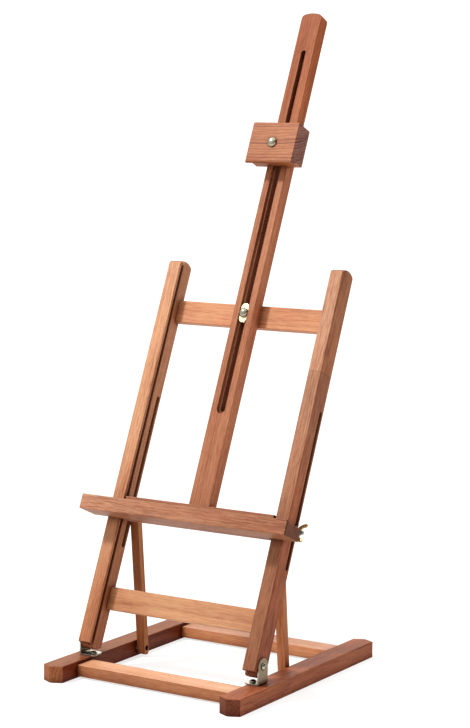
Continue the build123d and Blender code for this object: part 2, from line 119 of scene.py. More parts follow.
class Graph:
    """Short names for building a node tree; values may be numbers or sockets."""

    def __init__(self, tree):
        self.tree = tree

    def fill(self, node, inputs):
        for key, value in inputs.items():
            socket = node.inputs[key]
            if isinstance(value, bpy.types.NodeSocket):
                self.tree.links.new(value, socket)
            else:
                socket.default_value = value

    def add(self, kind, inputs=None, **properties):
        node = self.tree.nodes.new(kind)
        for key, value in properties.items():
            setattr(node, key, value)
        self.fill(node, inputs or {})
        return node

    def math(self, operation, a, b=0.0, clamp=False):
        return self.add("ShaderNodeMath", {0: a, 1: b, 2: 0.0},
                        operation=operation, use_clamp=clamp).outputs[0]

    def plus(self, a, b, clamp=False):
        return self.math("ADD", a, b, clamp)

    def minus(self, a, b):
        return self.math("SUBTRACT", a, b)

    def times(self, a, b):
        return self.math("MULTIPLY", a, b)

    def add_part(self, total, source, weight):
        return self.plus(total, self.times(source, weight))

    def dot(self, vector, direction):
        return self.add("ShaderNodeVectorMath", {0: vector, 1: tuple(direction)},
                        operation="DOT_PRODUCT").outputs["Value"]

    def offset(self, coords, offsets):
        """A vector from three coordinates, each moved by its offset."""
        moved = [self.plus(coord, move) for coord, move in zip(coords, offsets)]
        return self.add("ShaderNodeCombineXYZ", dict(enumerate(moved))).outputs[0]

    def scaled(self, vector, factors):
        return self.add("ShaderNodeVectorMath", {0: vector, 1: factors},
                        operation="MULTIPLY").outputs[0]

    def noise(self, vector, scale, detail, roughness, distortion=0.0):
        return self.add("ShaderNodeTexNoise", {
            "Vector": vector, "Scale": scale, "Detail": detail,
            "Roughness": roughness, "Distortion": distortion}).outputs["Fac"]

    def ramp(self, factor, stops):
        node = self.add("ShaderNodeValToRGB", {0: factor})
        elements = node.color_ramp.elements
        elements.remove(elements[-1])
        elements[0].position, elements[0].color = stops[0]
        for position, color in stops[1:]:
            elements.new(position).color = color
        return node.outputs["Color"]

    def remap(self, value, source, target=(0.0, 1.0), **properties):
        return self.add("ShaderNodeMapRange", {
            "Value": value, "From Min": source[0], "From Max": source[1],
            "To Min": target[0], "To Max": target[1]}, **properties).outputs[0]

    def mix(self, factor, a, b, blend="MIX"):
        return self.add("ShaderNodeMix", {0: factor, 6: a, 7: b},
                        data_type="RGBA", blend_type=blend).outputs[2]

    def tinted(self, color, tint):
        return self.mix(1.0, color, tint, "MULTIPLY")

    def mix_shader(self, factor, a, b):
        return self.add("ShaderNodeMixShader", {0: factor, 1: a, 2: b}).outputs[0]

    def bevel(self, radius):
        return self.add("ShaderNodeBevel", {"Radius": radius}, samples=4).outputs[0]

    def occlusion(self, distance, samples):
        return self.add("ShaderNodeAmbientOcclusion", {"Distance": distance},
                        samples=samples).outputs["AO"]

    def bump(self, **inputs):
        return self.add("ShaderNodeBump", inputs).outputs[0]


def principled(name):
    """A new material holding only an output and a Principled shader."""
    material = bpy.data.materials.new(name)
    material.use_nodes = True
    graph = Graph(material.node_tree)
    graph.tree.nodes.clear()
    output = graph.add("ShaderNodeOutputMaterial")
    shader = graph.add("ShaderNodeBsdfPrincipled")
    graph.fill(output, {"Surface": shader.outputs[0]})
    return material, graph, shader


# ------------------------------------------------------------------------- wood
# scale per mm across the grain, scale per mm along it, detail, roughness, distortion
GRAIN_NOISE = {
    "wander": (0.016, 0.0042, 2.0, 0.5, 0.0),    # slow bend of the rings
    "ripple": (0.11, 0.012, 2.0, 0.5, 0.0),      # quick bend of the rings
    "streak": (0.42, 0.009, 3.0, 0.6, 0.0),
    "fibre": (3.2, 0.07, 3.0, 0.62, 0.0),
    "ray": (1.9, 0.42, 1.0, 0.4, 0.0),           # short dark rays
    "blotch": (0.022, 0.0065, 3.0, 0.55, 0.0),
    "fleck": (0.80, 0.075, 3.0, 0.6, 0.0),
    "wild": (0.085, 0.020, 3.0, 0.6, 0.6),       # figure on the sides of a board
    "hue": (0.05, 0.011, 2.0, 0.5, 0.0),
}
# position in one growth ring, darkness
RING_STOPS = [(0.0, 0.25), (0.55, 0.45), (0.86, 0.98), (0.93, 0.9), (1.0, 0.25)]
# tone of the grain, factors on the mean color
TONE_STOPS = [
    (0.00, (1.34, 1.46, 1.52)),
    (0.32, (1.12, 1.16, 1.16)),
    (0.62, (0.88, 0.80, 0.76)),
    (1.00, (0.50, 0.36, 0.30)),
]


def grain_noise(graph, grain_space, kind):
    across, along, detail, roughness, distortion = GRAIN_NOISE[kind]
    return graph.noise(graph.scaled(grain_space, (across, across, along)), scale=1.0,
                       detail=detail, roughness=roughness, distortion=distortion)


def growth_rings(graph, coords, grain_space, pith, ring, seed):
    """Darkness of rings round the pith, bent by slow noise so that they wander."""
    wander = grain_noise(graph, grain_space, "wander")
    ripple = grain_noise(graph, grain_space, "ripple")
    x = graph.add_part(graph.minus(coords[0], pith[0]), wander, 34.0)   # bends in mm
    y = graph.add_part(graph.minus(coords[1], pith[1]), ripple, 4.5)
    radius = graph.math("SQRT", graph.plus(graph.times(x, x), graph.times(y, y)))
    phase = graph.math("DIVIDE", radius, ring)
    late = graph.ramp(graph.math("FRACT", phase),
                      [(position, grey(dark)) for position, dark in RING_STOPS])
    # each ring has its own strength
    ring_seed = graph.plus(graph.math("FLOOR", phase), float(seed))
    strength = graph.add("ShaderNodeTexWhiteNoise", noise_dimensions="1D")
    graph.fill(strength, {"W": ring_seed})
    return graph.times(late, graph.remap(strength.outputs["Value"], (0, 1), (0.35, 1.0)))


def along_ramp(graph, distance, stations):
    """Color factor along the grain; stations are (mm, rgb factor or number).
    A plain number moves blue most and red least."""
    low, high = stations[0][0], stations[-1][0]
    stops = []
    for place, factor in stations:
        if not isinstance(factor, tuple):
            factor = (factor ** 0.75, factor ** 1.2, factor ** 1.55)
        stops.append(((place - low) / (high - low), rgba(factor)))
    return graph.ramp(graph.remap(distance, (low, high)), stops)


def finger_joint(graph, col, distance, place, above):
    """A joint glued up end to end: a change of tone above it and a hairline."""
    step = graph.math("GREATER_THAN", distance, place)
    col = graph.mix(graph.times(step, 1.0), col,
                    graph.tinted(col, rgba((above, above * 1.03, above * 1.05))))
    gap = graph.math("ABSOLUTE", graph.minus(distance, place))
    line = graph.math("LESS_THAN", gap, 0.28)                  # half width in mm
    return graph.mix(graph.times(line, 0.55), col, rgba((0.10, 0.045, 0.02)))


def worn_and_highlit_edges(graph, streak):
    """How far an arris is worn, with a painted highlight, from the bevelled against the true
    normal.
    """
    edge = graph.add("ShaderNodeVectorMath", {
        0: graph.bevel(0.0011),
        1: graph.add("ShaderNodeNewGeometry").outputs["Normal"]}, operation="DOT_PRODUCT")
    worn_and_lit = graph.remap(edge.outputs["Value"], (0.80, 0.995), (1.0, 0.0))
    return graph.times(worn_and_lit, graph.remap(streak, (0.35, 0.65), (0.25, 1.0)))


def wood(name, grain, face, color, seed, pith, ring, contrast, lines=0.42, end=0.55,
         rough=0.46, stations=None, seam=None, faces=(), figure=0.0, shine=0.26):
    """Oiled, stained beech.  color is the mean albedo; pith (mm) and ring (mm) set
    the growth rings, lines their strength and contrast that of the grain noise;
    end is the tone of the end grain and figure the wild figure on the sides."""
    material, graph, shader = principled(name)
    grain = Vector(grain).normalized()
    face = Vector(face).normalized()
    axes = (face, grain.cross(face).normalized(), grain)
    texture = graph.add("ShaderNodeTexCoord")
    normal = texture.outputs["Normal"]
    coords = [graph.times(graph.dot(texture.outputs["Object"], axis), 1000.0)
              for axis in axes]
    distance = coords[2]
    shift = np.random.default_rng(seed).uniform(-200, 200, 3)
    space = graph.offset(coords, shift)

    late = growth_rings(graph, coords, space, pith, ring, seed)
    streak = grain_noise(graph, space, "streak")
    fibre = grain_noise(graph, space, "fibre")
    ray = graph.remap(grain_noise(graph, space, "ray"), (0.60, 0.70))
    blotch = grain_noise(graph, space, "blotch")
    fleck = grain_noise(graph, space, "fleck")

    # weights of the layers in the tone, 0 light to 1 dark
    tone = graph.times(late, lines)
    for layer, weight in ((fleck, 0.85 * contrast), (streak, 0.70 * contrast),
                          (fibre, 0.55 * contrast), (blotch, 0.60)):
        tone = graph.add_part(tone, graph.minus(layer, 0.5), weight)
    tone = graph.add_part(tone, ray, 0.10)
    if figure:
        wild = grain_noise(graph, space, "wild")
        side = graph.math("ABSOLUTE", graph.dot(normal, face))
        wild = graph.times(graph.minus(wild, 0.5), graph.times(side, figure))
        tone = graph.plus(tone, wild)
    tone = graph.plus(tone, 0.36, clamp=True)                  # middle tone
    col = graph.ramp(tone, [(stop, shade(color, factors)) for stop, factors in TONE_STOPS])

    # the stain took unevenly: pinker here, more orange there
    hue = grain_noise(graph, space, "hue")
    col = graph.mix(graph.remap(hue, (0.35, 0.65), (0.0, 0.55)), col,
                    graph.tinted(col, rgba((1.05, 0.93, 0.86))))
    if stations:
        col = graph.tinted(col, along_ramp(graph, distance, stations))
    if seam:
        col = finger_joint(graph, col, distance, *seam)

    # painted light and shade by face direction: a tint on faces turned that way, lighter for
    # painted sheen and darker for painted shade, which may change along the grain
    for way, factor, *drift in faces:
        tint = graph.tinted(col, rgba(factor))
        if drift:
            tint = graph.tinted(tint, along_ramp(graph, distance, drift))
        col = graph.mix(graph.remap(graph.dot(normal, way), (0.55, 0.85)), col, tint)

    # end grain drinks the stain
    endness = graph.remap(graph.math("ABSOLUTE", graph.dot(normal, grain)), (0.55, 0.95))
    end_color = graph.mix(graph.times(late, 0.45),
                          graph.tinted(col, rgba((end * 1.12, end * 0.98, end * 1.0))),
                          shade(color, (0.16, 0.12, 0.12)))
    col = graph.mix(endness, col, end_color)

    # arrises worn lighter with a painted highlight; painted shade darkens corners, slots and
    # joints
    edge = worn_and_highlit_edges(graph, streak)
    painted_recess_shade = graph.remap(graph.occlusion(0.012, samples=5), (0.30, 0.93), (1.0, 0.0))
    col = graph.mix(graph.times(edge, 0.34), col, shade(color, (1.4, 1.5, 1.5)))
    # painted shade: recesses, slots and joints near other parts are darkened towards brown
    col = graph.mix(graph.times(painted_recess_shade, 0.88), col,
                    graph.tinted(col, rgba((0.27, 0.16, 0.11))))

    # fibres, blotches and end grain are duller, and so is the painted shade in recesses
    roughness = graph.plus(graph.times(fibre, 0.16), rough - 0.08)
    roughness = graph.add_part(roughness, blotch, 0.10)
    roughness = graph.add_part(roughness, endness, 0.18)
    dull = graph.remap(painted_recess_shade, (0.0, 1.0), (1.0, 0.15))
    # fibres and rays are sunk, late wood stands proud
    height = graph.add_part(graph.times(fibre, -0.65), ray, -0.30)
    height = graph.add_part(height, late, 0.35)
    graph.fill(shader, {
        "Base Color": col,
        "Roughness": roughness,
        "Specular IOR Level": graph.times(dull, shine),
        "Coat Weight": graph.times(dull, 0.05),
        "Coat Roughness": 0.34,
        "Normal": graph.bump(Strength=0.42, Distance=0.00022, Height=height),
    })
    return material


# ------------------------------------------------------------------------ metal
def metal(name, color, rough, seed, tarnish, amount, brushed=(9.0, 9.0, 0.35),
          cast=False, reach=0.0022, faces=()):
    """Plated metal: fine scratches or a cast skin, tarnish of the given amount,
    dust and painted shade within reach (m) of corners and soft edges.  brushed stretches the
    scratches; faces are (direction, rgb factor), painted light and shade by face direction."""
    material, graph, shader = principled(name)
    texture = graph.add("ShaderNodeTexCoord")
    place = graph.scaled(texture.outputs["Object"], (1000.0,) * 3)
    shift = np.random.default_rng(seed).uniform(-50, 50, 3)
    space = graph.offset([graph.dot(place, axis) for axis in (X, Y, Z)], shift)
    cloud = graph.noise(space, scale=0.16, detail=4.0, roughness=0.6)
    fine = graph.noise(space, scale=2.2, detail=3.0, roughness=0.6)
    scratch = graph.noise(graph.scaled(space, brushed), scale=1.0, detail=2.0, roughness=0.5)
    dirt_and_corner_shade = graph.remap(graph.occlusion(reach, samples=6), (0.30, 0.92), (1.0, 0.0))

    # (cloud level, brightness)
    col = graph.ramp(cloud, [(level, shade(color, (bright,) * 3))
                             for level, bright in ((0.25, 0.86), (0.55, 1.0), (0.8, 1.08))])
    tarnished = graph.times(graph.remap(cloud, (0.42, 0.70)), amount)
    col = graph.mix(tarnished, col, rgba(tarnish))
    # painted light and shade by face direction: faces turned that way are tinted
    for way, factor in faces:
        facing = graph.remap(graph.dot(texture.outputs["Normal"], way), (0.6, 0.9))
        col = graph.mix(facing, col, graph.tinted(col, rgba(factor)))
    # painted shade, with some dust, darkens corners and creases towards near black
    col = graph.mix(graph.times(dirt_and_corner_shade, 0.72), col, rgba((0.04, 0.035, 0.03)))

    # clouds, scratches and the dusty painted shade in corners each roughen the surface
    roughness = graph.add_part(rough - 0.10, cloud, 0.16)
    roughness = graph.add_part(roughness, scratch, 0.10)
    roughness = graph.add_part(roughness, dirt_and_corner_shade, 0.25)
    # a cast skin is deeper and grainier than a plated one
    height = graph.add_part(graph.times(scratch, 0.5), fine, 1.0 if cast else 0.4)
    graph.fill(shader, {
        "Base Color": col,
        "Metallic": 1.0,
        "Roughness": roughness,
        "Normal": graph.bump(Strength=0.30, Distance=0.00012 if cast else 0.00004,
                             Height=height, Normal=graph.bevel(0.00025)),
    })
    return material


# --------------------------------------------------------- dressing the CAD pieces
def dress(piece, material):
    mesh = pieces[piece].data
    mesh.materials.clear()
    mesh.materials.append(material)
    for polygon in mesh.polygons:
        polygon.material_index = 0


def up_frame(*stations):
    """Stations given as (v in mm, factor), in grain coordinates."""
    return [(ALONG_V + v, factor) for v, factor in stations]


# piece, grain, face, mean albedo, seed, pith, ring, contrast, further settings;
# faces are (direction, rgb factor, stations along the grain), painted sheen and shade on faces
# turned that way
BOARDS = [
    ("runner_left", Y, X, (0.230, 0.065, 0.021), 11, (-205, -42), 4.2, 1.5, dict(
        faces=[(Z, (1.12, 1.45, 1.7)), (X, (0.72, 0.48, 0.26)), (-Y, (1.95, 2.75, 3.2))])),
    ("runner_right", Y, X, (0.254, 0.071, 0.026), 12, (72, -45), 4.2, 1.6, dict(
        faces=[(Z, (1.22, 1.35, 1.35)), (X, (1.22, 1.28, 1.10)), (-Y, (0.98, 1.12, 1.35))])),
    ("base_rail_front", X, Z, (0.625, 0.352, 0.210), 13, (60, 95), 4.8, 0.95, dict(
        faces=[(-Y, (0.60, 0.47, 0.38)), (Z, (1.02, 1.02, 1.02))])),
    ("base_rail_rear", X, Z, (0.507, 0.276, 0.175), 14, (52, 60), 4.8, 1.0, dict(
        faces=[(-Y, (0.96, 0.78, 0.60))])),
    ("upright_left", V, X, (0.455, 0.226, 0.122), 15, (-190, -215), 3.6, 1.2, dict(
        stations=up_frame((20, 0.73), (180, 0.93), (250, 1.04), (420, 1.09), (564, 1.20)),
        faces=[(X, (0.96, 0.89, 0.85))])),
    ("upright_right", V, X, (0.364, 0.165, 0.088), 16, (60, -205), 3.8, 1.35, dict(
        stations=up_frame((20, 0.62), (200, 0.80), (330, 0.98), (564, 1.05)),
        seam=(ALONG_V + 420.0, 1.22),
        faces=[(X, (0.88, 0.72, 0.58), *up_frame(
                    (150, (1.25, 1.15, 1.02)), (260, (1.22, 1.08, 0.94)),
                    (345, (1.0, 1.0, 1.0)), (415, (0.88, 0.88, 0.86)),
                    (564, (0.83, 0.83, 0.82)))),
               (-U, (0.96, 1.06, 1.15))],
        figure=1.5)),
    ("upper_crossbar", X, V, (0.487, 0.224, 0.114), 17, (520, 60), 4.4, 0.95, {}),
    ("lower_crossbar", X, V, (0.490, 0.256, 0.140), 18, (96, 60), 8.5, 0.8, dict(
        lines=0.62, faces=[(V, (0.90, 0.78, 0.68))])),
    ("mast", V, X, (0.350, 0.157, 0.090), 19, (75, -215), 3.4, 1.15, dict(
        stations=up_frame((224, 1.02), (690, 1.0), (750, (0.93, 0.86, 0.78)),
                          (820, (0.82, 0.64, 0.50)), (933, (0.78, 0.58, 0.42))),
        faces=[(X, (1.30, 1.22, 1.15))], rough=0.56, shine=0.08)),
    ("tray_guide", X, V, (0.309, 0.135, 0.074), 20, (235, 240), 4.0, 1.3, {}),
    ("tray_board", X, U, (0.303, 0.132, 0.069), 21, (-120, 215), 4.0, 1.5, {}),
    ("tray_lip", X, V, (0.310, 0.136, 0.074), 22, (235, 262), 3.6, 1.6, dict(
        end=0.34, stations=[(-159, 1.42), (-60, 1.12), (40, 1.02), (159, 1.0)])),
    ("canvas_block", X, V, (0.351, 0.134, 0.050), 23, (772, 215), 3.7, 1.0, dict(
        lines=0.95, end=0.62, faces=[(X, (1.30, 1.95, 4.0))])),
    ("strut_left", STRUT_GRAIN, X, (0.397, 0.166, 0.053), 24, (-80, 30), 3.4, 1.0, dict(
        faces=[(-Y, (0.62, 0.52, 0.58)), (X, (1.05, 1.02, 1.05))])),
    ("strut_right", STRUT_GRAIN, X, (0.477, 0.204, 0.089), 25, (90, 35), 3.4, 1.0, {}),
]
for piece, *look, settings in BOARDS:
    dress(piece, wood("beech_" + piece.removeprefix("base_"), *look, **settings))

# painted shade on faces turned to +X, painted highlight on faces turned up
ZINC = metal("zinc_plate", color=(0.46, 0.45, 0.42), rough=0.30, seed=3,
             tarnish=(0.30, 0.27, 0.22), amount=0.45, brushed=(1.2, 1.2, 9.0), reach=0.003,
             faces=[(X, (0.66, 0.53, 0.38)), (Z, (1.7, 1.65, 1.55))])
NICKEL = metal("nickel_dome", color=(0.42, 0.40, 0.31), rough=0.17, seed=4,
               tarnish=(0.50, 0.44, 0.33), amount=0.35)
STEEL = metal("steel_bolt", color=(0.42, 0.42, 0.42), rough=0.30, seed=5,
              tarnish=(0.33, 0.29, 0.23), amount=0.40)
BRASS = metal("brass_cast", color=(0.56, 0.42, 0.19), rough=0.34, seed=6,
              tarnish=(0.33, 0.22, 0.12), amount=0.55, cast=True)
PLATE = metal("brass_plate_pale", color=(0.80, 0.75, 0.53), rough=0.24, seed=7,
              tarnish=(0.55, 0.45, 0.26), amount=0.30, brushed=(6.0, 0.5, 0.5))

dress("hinge_bracket_left", ZINC)
dress("hinge_bracket_right", ZINC)
dress("clamp_plate", PLATE)


# ---------------------------------------------------------------- mesh building
def finish_mesh(name, bm, material, body, replaced, sharp=34.0):
    """Link the mesh as an object that rides on body; sharp is in degrees."""
    bmesh.ops.recalc_face_normals(bm, faces=bm.faces)
    limit = math.radians(sharp)
    for face in bm.faces:
        face.smooth = True
    for edge in bm.edges:
        if len(edge.link_faces) == 2 and edge.calc_face_angle(0.0) > limit:
            edge.smooth = False
    mesh = bpy.data.meshes.new(name)
    bm.to_mesh(mesh)
    bm.free()
    mesh.materials.append(material)
    obj = bpy.data.objects.new(name, mesh)
    scene.collection.objects.link(obj)
    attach(obj, body)
    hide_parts(replaced)


def placed(at, axis, side):
    """A matrix with its z along axis and its x along side."""
    z = Vector(axis).normalized()
    x = (Vector(side) - z * Vector(side).dot(z)).normalized()
    matrix = Matrix((x, z.cross(x), z)).transposed().to_4x4()
    matrix.translation = at
    return matrix


def circle(bm, radius, z, segments):
    return [bm.verts.new((radius * MM * math.cos(2 * math.pi * i / segments),
                          radius * MM * math.sin(2 * math.pi * i / segments), z * MM))
            for i in range(segments)]


def lathe(bm, profile, segments, placement=Matrix()):
    """Closed solid of revolution about z; profile is (radius, z) from axis to axis."""
    rings = [circle(bm, radius, z, segments) if radius else [bm.verts.new((0, 0, z * MM))]
             for radius, z in profile]
    for a, b in zip(rings, rings[1:]):
        for i in range(segments):
            j = (i + 1) % segments
            if len(a) == 1:
                bm.faces.new((a[0], b[i], b[j]))
            elif len(b) == 1:
                bm.faces.new((a[i], b[0], a[j]))
            else:
                bm.faces.new((a[i], b[i], b[j], a[j]))
    bmesh.ops.transform(bm, matrix=placement, verts=[vert for ring in rings for vert in ring])


def ring_solid(bm, profile, segments, placement=Matrix()):
    """Closed ring of revolution; profile is a closed loop of (radius, z)."""
    rings = [circle(bm, radius, z, segments) for radius, z in profile]
    for a, b in zip(rings, rings[1:] + rings[:1]):
        for i in range(segments):
            j = (i + 1) % segments
            bm.faces.new((a[i], b[i], b[j], a[j]))
    bmesh.ops.transform(bm, matrix=placement, verts=[vert for ring in rings for vert in ring])


def thread_radius(radius, pitch, height, to_tip, turn):
    """Radius of the thread at a height above its start, turn from 0 to 1."""
    phase = (height / pitch - turn) % 1.0
    flank = abs(phase - 0.5) * 2.0
    cut = min(1.0, max(0.0, (flank - 0.12) / 0.76))   # flats on crest and root
    run_in = min(1.0, height / (0.8 * pitch))
    point = max(0.0, (0.9 - to_tip) / 0.9)            # chamfer over the last 0.9 mm
    return min(radius - 0.61 * pitch * cut * run_in, radius - 0.75 * point)


def threaded_shank(bm, radius, pitch, start, thread_start, tip, placement, segments=48):
    """Plain shank, then a cut thread with a chamfered point, all one closed skin."""
    step = pitch / 8.0
    count = int(round((tip - thread_start) / step))
    heights = [start, thread_start - 0.2]
    heights += [thread_start + k * step for k in range(count)] + [tip]
    rows = []
    for z in heights:
        row = []
        for i in range(segments):
            turn = i / segments
            local = radius
            if z > thread_start - 1e-9:
                local = thread_radius(radius, pitch, z - thread_start, tip - z, turn)
            row.append(bm.verts.new((local * MM * math.cos(2 * math.pi * turn),
                                     local * MM * math.sin(2 * math.pi * turn), z * MM)))
        rows.append(row)
    for a, b in zip(rows, rows[1:]):
        for i in range(segments):
            j = (i + 1) % segments
            bm.faces.new((a[i], a[j], b[j], b[i]))
    first = bm.verts.new((0, 0, start * MM))
    last = bm.verts.new((0, 0, tip * MM))
    for i in range(segments):
        j = (i + 1) % segments
        bm.faces.new((first, rows[0][j], rows[0][i]))
        bm.faces.new((last, rows[-1][i], rows[-1][j]))
    verts = [vert for row in rows for vert in row] + [first, last]
    bmesh.ops.transform(bm, matrix=placement, verts=verts)


def dome_profile(radius, height, steps=14, rim=0.35):
    """Cup head in section: seat at z = 0, crown at z = -height."""
    points = [(0, 0), (radius - 0.25, 0), (radius, -0.2), (radius, -rim)]
    for i in range(1, steps):
        angle = math.pi / 2 * i / steps
        points.append((radius * math.cos(angle) ** 0.92,
                       -rim - (height - rim) * math.sin(angle)))
    return points + [(0, -height)]


def temporary(name, mesh):
    obj = bpy.data.objects.new(name, mesh)
    scene.collection.objects.link(obj)
    return obj


def temporary_solid(name, bm):
    bmesh.ops.recalc_face_normals(bm, faces=bm.faces)
    mesh = bpy.data.meshes.new(name)
    bm.to_mesh(mesh)
    bm.free()
    return temporary(name, mesh)


def baked(obj):
    """The object's mesh with its modifiers applied; the object is removed."""
    depsgraph = bpy.context.evaluated_depsgraph_get()
    depsgraph.update()
    mesh = bpy.data.meshes.new_from_object(obj.evaluated_get(depsgraph))
    bpy.data.objects.remove(obj)
    return mesh


def cut_away(target, cutter, use_self=False):
    """The mesh of target less cutter; both objects are removed."""
    cut = target.modifiers.new("cut", "BOOLEAN")
    cut.operation = "DIFFERENCE"
    cut.solver = "EXACT"
    cut.use_self = use_self
    cut.object = cutter
    mesh = baked(target)
    bpy.data.objects.remove(cutter)
    return mesh


# -------------------------------------------------------------------- wing nuts
# outline of one wing, (out from the axis, up from the seat), drawn for a nut
# of WING_SPAN and WING_HEIGHT
WING_SPAN, WING_HEIGHT = 13.5, 14.0
WING_CENTER = (7.6, 7.2)
WING = [
    (1.2, 1.1), (5.2, 0.9), (8.0, 2.5), (10.6, 5.0), (12.6, 8.0), (13.4, 10.4),
    (13.2, 12.6), (12.1, 13.7), (10.6, 13.9), (9.2, 12.9), (8.3, 10.9), (7.2, 8.8),
    (5.4, 7.3), (3.2, 6.7), (1.2, 6.5),
]


def add_wing(bm, sign, span, height, thickness):
    """One wing as a slab with chamfered rims, thinner towards its tip."""
    scale_x, scale_z = span / WING_SPAN, height / WING_HEIGHT
    center_x, center_z = WING_CENTER[0] * scale_x, WING_CENTER[1] * scale_z
    half, chamfer = thickness / 2, 0.55
    layers = []
    for y, shrink in ((-half, chamfer), (-half + 0.5, 0.0), (half - 0.5, 0.0),
                      (half, chamfer)):
        layer = []
        for out, rise in WING:
            x, z = out * scale_x, rise * scale_z
            dx, dz = x - center_x, z - center_z
            reach = math.hypot(dx, dz)
            thin = 1.0 - 0.16 * max(0.0, (x - 4.0) / span)
            layer.append(bm.verts.new((sign * (x - dx / reach * shrink) * MM, y * thin * MM,
                                       (z - dz / reach * shrink) * MM)))
        layers.append(layer)
    count = len(WING)
    faces = []
    for a, b in zip(layers, layers[1:]):
        for i in range(count):
            j = (i + 1) % count
            faces.append((a[i], a[j], b[j], b[i]))
    faces += [layers[0][::-1], layers[-1]]
    for face in faces:
        bm.faces.new(face if sign > 0 else face[::-1])


def wing_nut_mesh(bore, hub_radius, hub_height, span, height, thickness, voxel):
    """A cast butterfly nut about z, seat on z = 0, wings along x.  Hub and wings
    are voxel-merged and relaxed, so that they meet in soft fillets."""
    bm = bmesh.new()
    lathe(bm, [(0, -0.6), (hub_radius + 0.25, -0.6), (hub_radius + 0.45, 0.5),
               (hub_radius + 0.25, 1.2), (hub_radius - 0.15, 1.9),
               (hub_radius - 0.55, hub_height * 0.62), (hub_radius - 0.85, hub_height - 0.5),
               (hub_radius - 1.3, hub_height), (0, hub_height)], 64)
    for sign in (1, -1):
        add_wing(bm, sign, span, height, thickness)
    raw = temporary_solid("nut_raw", bm)
    merge = raw.modifiers.new("merge", "REMESH")
    merge.mode = "VOXEL"
    merge.voxel_size = voxel * MM
    relax = raw.modifiers.new("relax", "SMOOTH")
    relax.factor = 0.6
    relax.iterations = 9
    nut = temporary("nut_cast", baked(raw))

    # the seat is faced flat and the bore drilled with a small countersink
    cutter = bmesh.new()
    lathe(cutter, [(0, -4), (bore + 0.5, -4), (bore + 0.5, 0.0), (bore, 0.5),
                   (bore, hub_height - 0.55), (bore + 0.75, hub_height + 0.2),
                   (bore + 0.75, hub_height + 3.0), (0, hub_height + 3.0)], 64)
    ring_solid(cutter, [(bore + 0.9, -4), (hub_radius + 3, -4), (hub_radius + 3, 0.0),
                        (bore + 0.9, 0.0)], 64)
    return cut_away(nut, temporary_solid("nut_cut", cutter), use_self=True)


def wing_direction(piece, at, axis):
    """Mean direction of the CAD nut's outermost points, which gives its turn."""
    points = np.array([vert.co for vert in pieces[piece].data.vertices], float)
    points -= np.array(at)
    axis = np.array(Vector(axis).normalized())
    flat = points - np.outer(points @ axis, axis)
    reach = np.linalg.norm(flat, axis=1)
    far = flat[reach > 0.9 * reach.max()]
    far = far * np.sign(far @ flat[reach.argmax()])[:, None]
    return Vector(far.mean(0)).normalized()


def wing_nut(piece, at, axis, body, sizes):
    side = wing_direction(piece, at, axis)
    bm = bmesh.new()
    bm.from_mesh(wing_nut_mesh(**sizes))
    bmesh.ops.transform(bm, matrix=placed(at, axis, side), verts=bm.verts)
    finish_mesh(piece + "_cast", bm, BRASS, body, piece, 50)


# --------------------------------------------------- bolts, washers and screws
def bolt(piece, at, axis, side, head, shank, length, thread_from, pitch, material, body):
    """Cup-head bolt: head (radius, height) seated at `at`, shank along axis."""
    placement = placed(at, axis, side)
    bm = bmesh.new()
    lathe(bm, dome_profile(*head), 80, placement)
    threaded_shank(bm, shank, pitch, -0.4, thread_from, length, placement)
    finish_mesh(piece + "_cup_head", bm, material, body, piece)


def washer(piece, at, axis, side, radius, bore, thickness, body):
    edge = 0.22
    bm = bmesh.new()
    ring_solid(bm, [(bore, edge * 0.5), (bore + edge * 0.5, 0), (radius - edge, 0),
                    (radius, edge), (radius, thickness - edge * 0.6),
                    (radius - edge * 0.6, thickness), (bore + edge, thickness),
                    (bore, thickness - edge)], 80, placed(at, axis, side))
    finish_mesh(piece + "_chamfered", bm, ZINC, body, piece, sharp=28)


def plus_outline(bm, width, length, z):
    """Corners of a plus in the plane at z."""
    near, far = width / 2, length / 2
    corners = [(far, -near), (far, near), (near, near), (near, far), (-near, far),
               (-near, near), (-far, near), (-far, -near), (-near, -near),
               (-near, -far), (near, -far), (near, -near)]
    return [bm.verts.new((x * MM, y * MM, z * MM)) for x, y in corners]


def crossed_head(radius, height, turn):
    """Mesh of a domed head with a cross recess that narrows inwards."""
    head = bmesh.new()
    lathe(head, dome_profile(radius, height, 12, 0.45), 64)
    head = temporary_solid("head", head)
    cutter = bmesh.new()
    outer = plus_outline(cutter, RECESS_WIDTH * 1.25, RECESS_LENGTH * 1.15, -height - 1.0)
    inner = plus_outline(cutter, RECESS_WIDTH * 0.8, RECESS_LENGTH * 0.35,
                         -height + RECESS_DEPTH)
    for i in range(12):
        j = (i + 1) % 12
        cutter.faces.new((outer[i], outer[j], inner[j], inner[i]))
    cutter.faces.new(outer[::-1])
    cutter.faces.new(inner)
    bmesh.ops.triangulate(cutter, faces=[f for f in cutter.faces if len(f.verts) > 4])
    bmesh.ops.rotate(cutter, verts=cutter.verts, cent=(0, 0, 0),
                     matrix=Matrix.Rotation(turn, 3, "Z"))
    return cut_away(head, temporary_solid("cross", cutter))


def screws(name, piece, places, head, shank, material, body):
    """Screws in one mesh.  places are (seat, axis into the work, side, turn of the
    recess); head is (radius, height) and shank (radius, length)."""
    bm = bmesh.new()
    radius, length = shank
    for at, axis, side, turn in places:
        placement = placed(at, axis, side)
        mesh = crossed_head(*head, turn)
        mesh.transform(placement)
        bm.from_mesh(mesh)
        lathe(bm, [(0, -0.2), (radius, -0.2), (radius, length - 2.5), (0.25, length),
                   (0, length)], 40, placement)
    finish_mesh(name, bm, material, body, piece, sharp=30)


# --------------------------------------------------------------- the hardware
def x_faces(piece, sign):
    """The piece's inner and outer x on the side given by sign."""
    low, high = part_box(piece)
    return (low.x, high.x) if sign > 0 else (high.x, low.x)


STRUT_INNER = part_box("strut_right")[0].x


